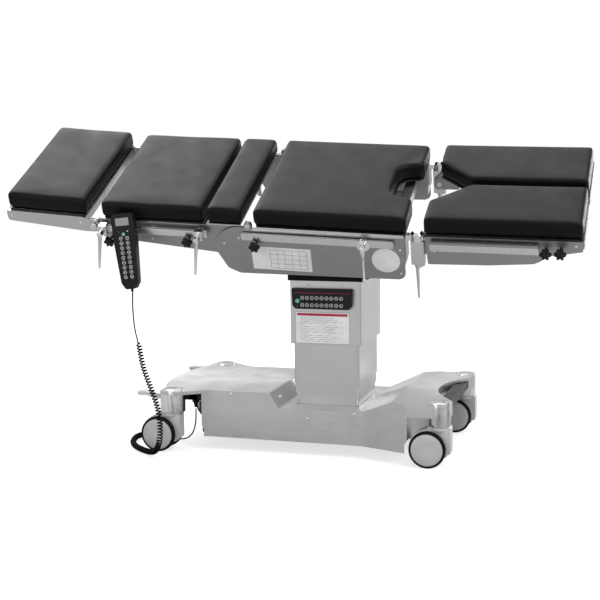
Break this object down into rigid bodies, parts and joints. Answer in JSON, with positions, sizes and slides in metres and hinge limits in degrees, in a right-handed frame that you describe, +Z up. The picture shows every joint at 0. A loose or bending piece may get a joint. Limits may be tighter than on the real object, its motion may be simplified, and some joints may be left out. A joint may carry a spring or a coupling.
{
  "type": "operating table",
  "caption": "Wheeled operating table on a telescopic tilting column, with padded head, back, seat and folding leg sections and a corded handset.",
  "frame": {"origin": "on the floor, under the column's axis", "axes": "+X towards the leg end, +Y towards the side away from the operator's panel, +Z up"},
  "size_m": [2.0242, 0.7296, 1.1492],
  "materials": {
    "stainless": "satin brushed stainless",
    "stainless_cover": "light brushed stainless sheet",
    "dark_frame": "black powder coat",
    "chrome": "polished chrome",
    "cushion": "charcoal padded vinyl, satin",
    "board": "dark laminate",
    "black_plastic": "black moulded plastic",
    "black_rubber": "black rubber",
    "light_plastic": "light grey moulded plastic",
    "wheel": "light disc with a black tread",
    "handset": "dark grey moulded plastic",
    "key_teal": "teal key"
  },
  "bodies": {
    "base": {"base_frame": "dark_frame", "base_cover": "stainless_cover", "caster_bosses": "chrome", "column_foot": "stainless", "lift_cylinder": "stainless", "control_box": "dark_frame", "handset_socket": "black_plastic", "handset_cord": "black_rubber"},
    "pedals": {"brake_pedals": "light_plastic"},
    "shell_lower": {"column_shell_lower": "stainless"},
    "shell_middle": {"column_shell_middle": "stainless"},
    "column": {"column_cover": "stainless", "lift_ram": "chrome", "column_head": "stainless", "column_bellows": "black_rubber", "panel_housing": "black_plastic"},
    "panel_key": {"panel_power_key": "key_teal"},
    "cross": {"tilt_cross": "stainless"},
    "top": {"seat_frame": "stainless", "seat_board": "board", "seat_cushion": "cushion", "seat_rails": "stainless", "leg_posts": "chrome", "ring_clamp": "chrome"},
    "seat_knob": {"seat_knob": "black_plastic"},
    "ring_rod": {"ring_clamp_rod": "chrome"},
    "back": {"back_frame": "stainless", "back_board": "board", "back_cushion": "cushion", "back_rails": "stainless", "rail_clamps": "chrome"},
    "back_knob": {"back_knob": "black_plastic"},
    "head_knob": {"head_knob": "black_plastic"},
    "bridge_lever": {"bridge_clamp_lever": "chrome"},
    "head_lever": {"head_clamp_lever": "chrome"},
    "bridge": {"bridge_frame": "stainless", "bridge_cushion": "cushion"},
    "head": {"head_frame": "stainless", "head_cushion": "cushion"},
    "handset": {"handset_shell": "handset"},
    "handset_key": {"handset_key": "key_teal"},
    "knuckle_near": {"leg_knuckle_near": "chrome"},
    "leaf_near": {"leg_frame_near": "stainless", "leg_cushion_near": "cushion"},
    "leg_knob_inner_near": {"leg_knob_inner_near": "black_plastic"},
    "leg_knob_outer_near": {"leg_knob_outer_near": "black_plastic"},
    "knuckle_far": {"leg_knuckle_far": "chrome"},
    "leaf_far": {"leg_frame_far": "stainless", "leg_cushion_far": "cushion"},
    "leg_knob_inner_far": {"leg_knob_inner_far": "black_plastic"},
    "leg_knob_outer_far": {"leg_knob_outer_far": "black_plastic"},
    "caster_fl": {"caster_fork_fl": "light_plastic"},
    "wheels_fl": {"caster_wheels_fl": "wheel"},
    "caster_rl": {"caster_fork_rl": "light_plastic"},
    "wheels_rl": {"caster_wheels_rl": "wheel"},
    "caster_fr": {"caster_fork_fr": "light_plastic"},
    "wheels_fr": {"caster_wheels_fr": "wheel"},
    "caster_rr": {"caster_fork_rr": "light_plastic"},
    "wheels_rr": {"caster_wheels_rr": "wheel"}
  },
  "joints": [
    {"name": "column_lift", "type": "slide", "parent": "base", "child": "column", "axis": [0, 0, 1], "range_m": [-0.213, 0.06], "deforming": ["handset_cord"]},
    {"name": "middle_shell_lift", "type": "slide", "parent": "base", "child": "shell_middle", "axis": [0, 0, 1], "range_m": [-0.0735, 0.021]},
    {"name": "lower_shell_lift", "type": "slide", "parent": "base", "child": "shell_lower", "axis": [0, 0, 1], "range_m": [-0.037, 0.0105]},
    {"name": "lateral_tilt", "type": "hinge", "parent": "column", "child": "cross", "pos_m": [0, 0, 0.7956], "axis": [1, 0, 0], "range_deg": [-58.8, 1.2]},
    {"name": "end_tilt", "type": "hinge", "parent": "cross", "child": "top", "pos_m": [0, 0, 0.7956], "axis": [0, -0.8763, -0.4818], "range_deg": [-21.9, 23.1]},
    {"name": "back_raise", "type": "hinge", "parent": "top", "child": "back", "pos_m": [-0.23235, -0.07119, 0.9251], "axis": [0, 0.8763, 0.4818], "range_deg": [-30, 55]},
    {"name": "bridge_raise", "type": "slide", "parent": "back", "child": "bridge", "axis": [0.0541, -0.481, 0.875], "range_m": [0, 0.09]},
    {"name": "head_raise", "type": "hinge", "parent": "back", "child": "head", "pos_m": [-0.8054, -0.06926, 0.92158], "axis": [0, 0.8763, 0.4818], "range_deg": [-75, 30]},
    {"name": "handset_slide", "type": "slide", "parent": "back", "child": "handset", "axis": [0.9985, 0.0261, -0.0474], "range_m": [-0.02, 0.05]},
    {"name": "handset_power", "type": "slide", "parent": "handset", "child": "handset_key", "axis": [0, 1, 0], "range_m": [0, 0.0012], "stiffness_N_per_m": 900, "springref_m": -0.0006},
    {"name": "panel_power", "type": "slide", "parent": "column", "child": "panel_key", "axis": [0, 1, 0], "range_m": [0, 0.0012], "stiffness_N_per_m": 900, "springref_m": -0.0006},
    {"name": "leg_swing_near", "type": "hinge", "parent": "top", "child": "knuckle_near", "pos_m": [0.34331, -0.21943, 0.71318], "axis": [-0.0541, 0.481, -0.875], "range_deg": [0, 90]},
    {"name": "leg_fold_near", "type": "hinge", "parent": "knuckle_near", "child": "leaf_near", "pos_m": [0.34331, -0.1984, 0.72474], "axis": [0, 0.8763, 0.4818], "range_deg": [-5, 90]},
    {"name": "leg_knob_inner_turn_near", "type": "hinge", "parent": "leaf_near", "child": "leg_knob_inner_near", "pos_m": [0.76852, -0.26362, 0.73127], "axis": [0, 0.8763, 0.4818], "continuous": true},
    {"name": "leg_knob_outer_turn_near", "type": "hinge", "parent": "leaf_near", "child": "leg_knob_outer_near", "pos_m": [0.81555, -0.26395, 0.73187], "axis": [0, 0.8763, 0.4818], "continuous": true},
    {"name": "leg_swing_far", "type": "hinge", "parent": "top", "child": "knuckle_far", "pos_m": [0.34331, 0.18717, 0.93671], "axis": [0.0541, -0.481, 0.875], "range_deg": [0, 90]},
    {"name": "leg_fold_far", "type": "hinge", "parent": "knuckle_far", "child": "leaf_far", "pos_m": [0.34331, 0.16614, 0.92515], "axis": [0, 0.8763, 0.4818], "range_deg": [-5, 90]},
    {"name": "leg_knob_inner_turn_far", "type": "hinge", "parent": "leaf_far", "child": "leg_knob_inner_far", "pos_m": [0.76852, 0.19557, 0.98371], "axis": [0, 0.8763, 0.4818], "continuous": true},
    {"name": "leg_knob_outer_turn_far", "type": "hinge", "parent": "leaf_far", "child": "leg_knob_outer_far", "pos_m": [0.81555, 0.19524, 0.98431], "axis": [0, 0.8763, 0.4818], "continuous": true},
    {"name": "seat_knob_turn", "type": "hinge", "parent": "top", "child": "seat_knob", "pos_m": [-0.20985, -0.28159, 0.7349], "axis": [0, 0.8763, 0.4818], "continuous": true},
    {"name": "back_knob_turn", "type": "hinge", "parent": "back", "child": "back_knob", "pos_m": [-0.45233, -0.28936, 0.74904], "axis": [0, 0.8763, 0.4818], "continuous": true},
    {"name": "head_knob_turn", "type": "hinge", "parent": "back", "child": "head_knob", "pos_m": [-0.74482, -0.28879, 0.74801], "axis": [0, 0.8763, 0.4818], "continuous": true},
    {"name": "bridge_lever_turn", "type": "hinge", "parent": "back", "child": "bridge_lever", "pos_m": [-0.40599, -0.32874, 0.75425], "axis": [0, 0.8763, 0.4818], "range_deg": [-15, 60]},
    {"name": "head_lever_turn", "type": "hinge", "parent": "back", "child": "head_lever", "pos_m": [-0.76147, -0.33802, 0.77112], "axis": [0, 0.8763, 0.4818], "range_deg": [-25, 60]},
    {"name": "ring_rod_swing", "type": "hinge", "parent": "top", "child": "ring_rod", "pos_m": [0.17117, -0.30492, 0.73167], "axis": [0, 0.8763, 0.4818], "range_deg": [-60, 60]},
    {"name": "pedal_press", "type": "hinge", "parent": "base", "child": "pedals", "pos_m": [-0.592, 0, 0.185], "axis": [0, 1, 0], "range_deg": [-20, 20]},
    {"name": "caster_swivel_fl", "type": "hinge", "parent": "base", "child": "caster_fl", "pos_m": [-0.54, -0.267, 0.15], "axis": [0, 0, 1], "continuous": true},
    {"name": "caster_roll_fl", "type": "hinge", "parent": "caster_fl", "child": "wheels_fl", "pos_m": [-0.575, -0.267, 0.0625], "axis": [0, 1, 0], "continuous": true},
    {"name": "caster_swivel_rl", "type": "hinge", "parent": "base", "child": "caster_rl", "pos_m": [-0.54, 0.267, 0.15], "axis": [0, 0, 1], "continuous": true},
    {"name": "caster_roll_rl", "type": "hinge", "parent": "caster_rl", "child": "wheels_rl", "pos_m": [-0.575, 0.267, 0.0625], "axis": [0, 1, 0], "continuous": true},
    {"name": "caster_swivel_fr", "type": "hinge", "parent": "base", "child": "caster_fr", "pos_m": [0.426, -0.267, 0.15], "axis": [0, 0, 1], "continuous": true},
    {"name": "caster_roll_fr", "type": "hinge", "parent": "caster_fr", "child": "wheels_fr", "pos_m": [0.391, -0.267, 0.0625], "axis": [0, 1, 0], "continuous": true},
    {"name": "caster_swivel_rr", "type": "hinge", "parent": "base", "child": "caster_rr", "pos_m": [0.426, 0.267, 0.15], "axis": [0, 0, 1], "continuous": true},
    {"name": "caster_roll_rr", "type": "hinge", "parent": "caster_rr", "child": "wheels_rr", "pos_m": [0.391, 0.267, 0.0625], "axis": [0, 1, 0], "continuous": true}
  ],
  "couplings": [
    {"joint": "middle_shell_lift", "follows": "column_lift", "ratio": 0.34},
    {"joint": "lower_shell_lift", "follows": "column_lift", "ratio": 0.17}
  ]
}
